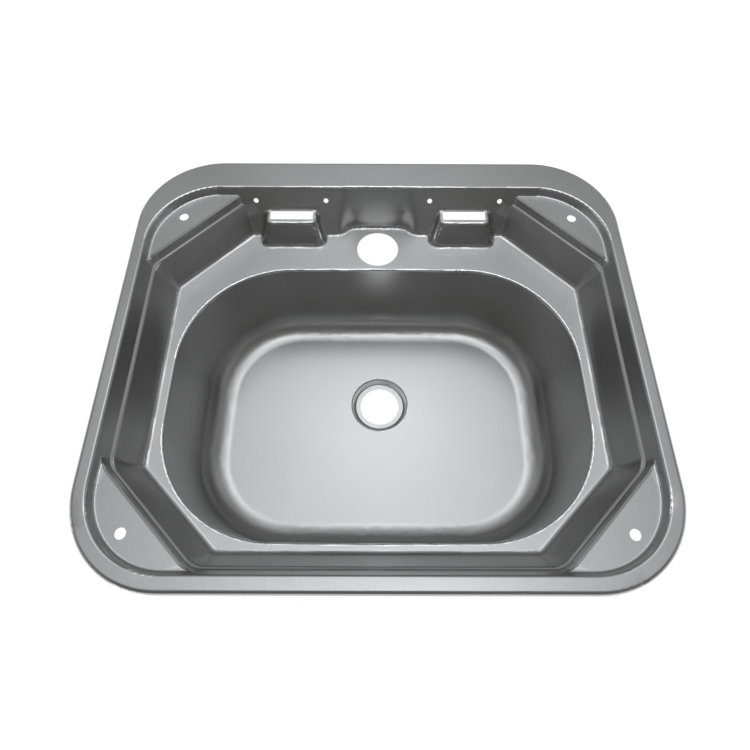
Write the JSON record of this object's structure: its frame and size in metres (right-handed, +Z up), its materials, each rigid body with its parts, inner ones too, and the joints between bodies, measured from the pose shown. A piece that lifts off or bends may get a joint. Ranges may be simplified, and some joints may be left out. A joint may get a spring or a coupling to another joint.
{
  "type": "camper sink",
  "caption": "Inset camper sink pressed from one stainless sheet: stepped well with corner lands and hinge bosses, tap niche, deep rounded bowl with drain, foam strip under the rim.",
  "frame": {"origin": "middle of the rim's outline, on the worktop that the foam strip rests on", "axes": "+X along the long side of the rim, +Y to the tap side, +Z up out of the bowl"},
  "size_m": [0.42, 0.37, 0.1368],
  "materials": {
    "stainless": "satin",
    "foam": "matte"
  },
  "bodies": {
    "root": {"sink_pressing": "stainless", "rim_seal": "foam"}
  },
  "joints": []
}
